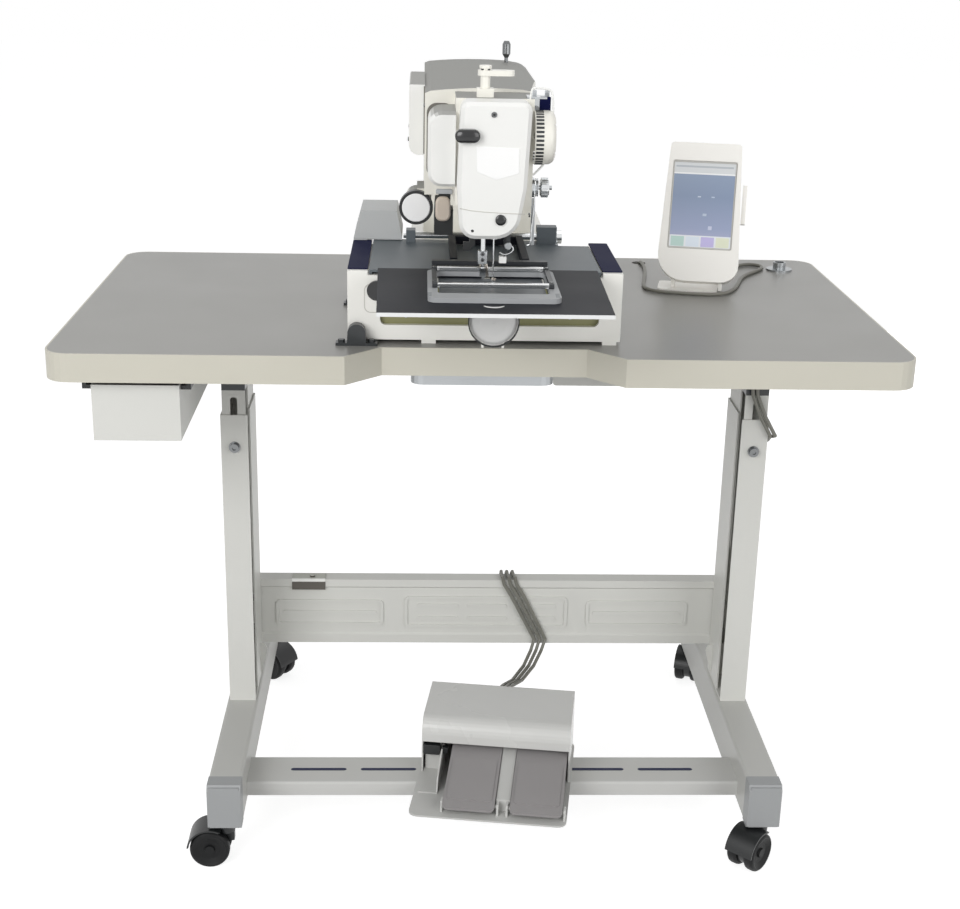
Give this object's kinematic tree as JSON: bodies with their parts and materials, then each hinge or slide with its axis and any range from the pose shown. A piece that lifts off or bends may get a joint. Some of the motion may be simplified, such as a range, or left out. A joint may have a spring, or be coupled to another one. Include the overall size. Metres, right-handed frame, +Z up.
{
  "type": "programmable pattern sewing machine",
  "caption": "pattern sewing machine with plate feed and work clamp, head on a notched table, height-adjustable stand on casters, operation panel and foot pedal",
  "frame": {"origin": "on the floor under the middle of the machine's bounding box", "axes": "+Z up, +Y to the back, +X to the operator's right"},
  "size_m": [1.2, 0.851, 1.184],
  "materials": {
    "band": "edge band",
    "black_plastic": "moulded",
    "brass": "plated",
    "cable": "jacket",
    "cream": "gloss enamel on a casting",
    "grey_plastic": "moulded",
    "hood_grey": "satin",
    "laminate": "fine grained laminate",
    "navy": "satin",
    "olive": "satin",
    "painted_steel": "satin powder coat",
    "panel_shell": "moulded",
    "plate_black": "satin black",
    "plate_grey": "satin grey",
    "steel": "ground",
    "treadle_grey": "textured",
    "white_plastic": "moulded",
    "zinc": "zinc plated"
  },
  "bodies": {
    "stand": {"feet": "painted_steel", "foot_end_caps": "grey_plastic", "columns": "painted_steel", "cross_beam": "painted_steel", "foot_beam": "painted_steel", "stand_bolts": "zinc", "beam_clip": "brass", "pedal_base": "hood_grey", "pedal_hood": "hood_grey", "pedal_cable": "cable"},
    "caster_front_left": {"caster_fl": "black_plastic"},
    "caster_front_right": {"caster_fr": "black_plastic"},
    "caster_rear_left": {"caster_rl": "black_plastic"},
    "caster_rear_right": {"caster_rr": "black_plastic"},
    "wheels_front_left": {"wheels_fl": "black_plastic"},
    "wheels_front_right": {"wheels_fr": "black_plastic"},
    "wheels_rear_left": {"wheels_rl": "black_plastic"},
    "wheels_rear_right": {"wheels_rr": "black_plastic"},
    "table": {"inner_columns": "painted_steel", "table_brackets": "black_plastic", "table_top": "laminate", "edge_band": "band", "drawer_runners": "black_plastic", "control_box": "painted_steel", "oil_pan": "zinc", "thread_stand_socket": "zinc", "hinge_blocks": "black_plastic", "panel_bracket": "panel_shell", "riser_cable": "cable", "panel_cord": "cable"},
    "drawer_body": {"drawer": "painted_steel"},
    "head": {"bed_casting": "cream", "bed_side_panels": "navy", "front_sill": "olive", "arm_casting": "cream", "left_cover": "white_plastic", "side_cover": "cream", "face_cover": "white_plastic", "cover_knobs": "black_plastic", "rear_cover": "plate_grey", "needle_plate": "steel", "bobbin_case": "steel", "take_up_guard": "cream", "tension_unit": "steel", "winder_post": "cream", "guide_post": "black_plastic"},
    "hook_cover_body": {"hook_cover": "steel"},
    "hook_body": {"hook_assembly": "steel"},
    "needle_bar_body": {"needle_bar": "steel"},
    "presser_body": {"presser_foot": "steel"},
    "take_up_body": {"take_up_lever": "steel"},
    "tension_knob_body": {"tension_knob": "steel"},
    "knob_body": {"hand_knob": "white_plastic"},
    "winder_lever_body": {"winder_lever": "cream"},
    "y_feed": {"feed_carriage": "plate_grey"},
    "x_feed": {"feed_plate": "plate_black"},
    "clamp": {"work_clamp": "steel"},
    "panel": {"panel_case": "panel_shell"},
    "treadle_left_body": {"treadle_left": "treadle_grey"},
    "treadle_right_body": {"treadle_right": "treadle_grey"}
  },
  "joints": [
    {"name": "swivel_front_left", "type": "hinge", "parent": "stand", "child": "caster_front_left", "pos_m": [-0.376, -0.2335, 0.067], "axis": [0, 0, 1], "continuous": true},
    {"name": "roll_front_left", "type": "hinge", "parent": "caster_front_left", "child": "wheels_front_left", "pos_m": [-0.4, -0.2335, 0.03], "axis": [0, -1, 0], "continuous": true},
    {"name": "swivel_front_right", "type": "hinge", "parent": "stand", "child": "caster_front_right", "pos_m": [0.436, -0.2335, 0.067], "axis": [0, 0, 1], "continuous": true},
    {"name": "roll_front_right", "type": "hinge", "parent": "caster_front_right", "child": "wheels_front_right", "pos_m": [0.41963, -0.25105, 0.03], "axis": [0.7314, -0.682, 0], "continuous": true},
    {"name": "swivel_rear_left", "type": "hinge", "parent": "stand", "child": "caster_rear_left", "pos_m": [-0.376, 0.3885, 0.067], "axis": [0, 0, 1], "continuous": true},
    {"name": "roll_rear_left", "type": "hinge", "parent": "caster_rear_left", "child": "wheels_rear_left", "pos_m": [-0.35634, 0.37473, 0.03], "axis": [0.5736, 0.8192, 0], "continuous": true},
    {"name": "swivel_rear_right", "type": "hinge", "parent": "stand", "child": "caster_rear_right", "pos_m": [0.436, 0.3885, 0.067], "axis": [0, 0, 1], "continuous": true},
    {"name": "roll_rear_right", "type": "hinge", "parent": "caster_rear_right", "child": "wheels_rear_right", "pos_m": [0.42779, 0.36595, 0.03], "axis": [0.9397, -0.342, 0], "continuous": true},
    {"name": "height_adjust", "type": "slide", "parent": "stand", "child": "table", "axis": [0, 0, 1], "range_m": [-0.07, 0.07], "deforming": ["riser_cable"]},
    {"name": "drawer_slide", "type": "slide", "parent": "table", "child": "drawer_body", "axis": [0, -1, 0], "range_m": [0, 0.24]},
    {"name": "head_tilt", "type": "hinge", "parent": "table", "child": "head", "pos_m": [-0.178, -0.1735, 0.818], "axis": [0, -1, 0], "range_deg": [0, 55]},
    {"name": "hook_cover_hinge", "type": "hinge", "parent": "head", "child": "hook_cover_body", "pos_m": [0.006, -0.2865, 0.831], "axis": [1, 0, 0], "range_deg": [0, 90]},
    {"name": "knob_turn", "type": "hinge", "parent": "head", "child": "knob_body", "pos_m": [-0.097, -0.1205, 0.985], "axis": [0, 1, 0], "continuous": true},
    {"name": "hook_turn", "type": "hinge", "parent": "head", "child": "hook_body", "pos_m": [0.006, -0.2485, 0.866], "axis": [0, 1, 0], "continuous": true},
    {"name": "needle_bar_slide", "type": "slide", "parent": "head", "child": "needle_bar_body", "axis": [0, 0, -1], "range_m": [0, 0.032]},
    {"name": "take_up_swing", "type": "hinge", "parent": "head", "child": "take_up_body", "pos_m": [0.056, -0.2145, 1.095], "axis": [1, 0, 0], "range_deg": [-25, 25]},
    {"name": "presser_lift", "type": "slide", "parent": "head", "child": "presser_body", "axis": [0, 0, 1], "range_m": [0, 0.02]},
    {"name": "tension_turn", "type": "hinge", "parent": "head", "child": "tension_knob_body", "pos_m": [0.074, -0.2085, 1.026], "axis": [1, 0, 0], "range_deg": [-180, 180]},
    {"name": "winder_lever_swing", "type": "hinge", "parent": "head", "child": "winder_lever_body", "pos_m": [-0.008, -0.2125, 1.1745], "axis": [0, 0, 1], "range_deg": [-30, 30]},
    {"name": "feed_y", "type": "slide", "parent": "head", "child": "y_feed", "axis": [0, 1, 0], "range_m": [-0.025, 0.048]},
    {"name": "feed_x", "type": "slide", "parent": "y_feed", "child": "x_feed", "axis": [1, 0, 0], "range_m": [-0.054, 0.054]},
    {"name": "clamp_lift", "type": "slide", "parent": "x_feed", "child": "clamp", "axis": [0, 0, 1], "range_m": [0, 0.025]},
    {"name": "panel_tilt", "type": "hinge", "parent": "table", "child": "panel", "pos_m": [0.35874, 0.18111, 0.83], "axis": [0.9781, -0.2079, 0], "range_deg": [-15, 10]},
    {"name": "press_treadle_left", "type": "hinge", "parent": "stand", "child": "treadle_left_body", "pos_m": [-0.01058, -0.26338, 0.114], "axis": [0.9895, -0.1444, 0], "range_deg": [-9, 0], "stiffness_Nm_per_rad": 6, "springref_deg": 6.88},
    {"name": "press_treadle_right", "type": "hinge", "parent": "stand", "child": "treadle_right_body", "pos_m": [0.08739, -0.27767, 0.114], "axis": [0.9895, -0.1444, 0], "range_deg": [-9, 0], "stiffness_Nm_per_rad": 6, "springref_deg": 6.88}
  ],
  "couplings": [
    {"joint": "hook_turn", "follows": "knob_turn", "ratio": 2}
  ]
}
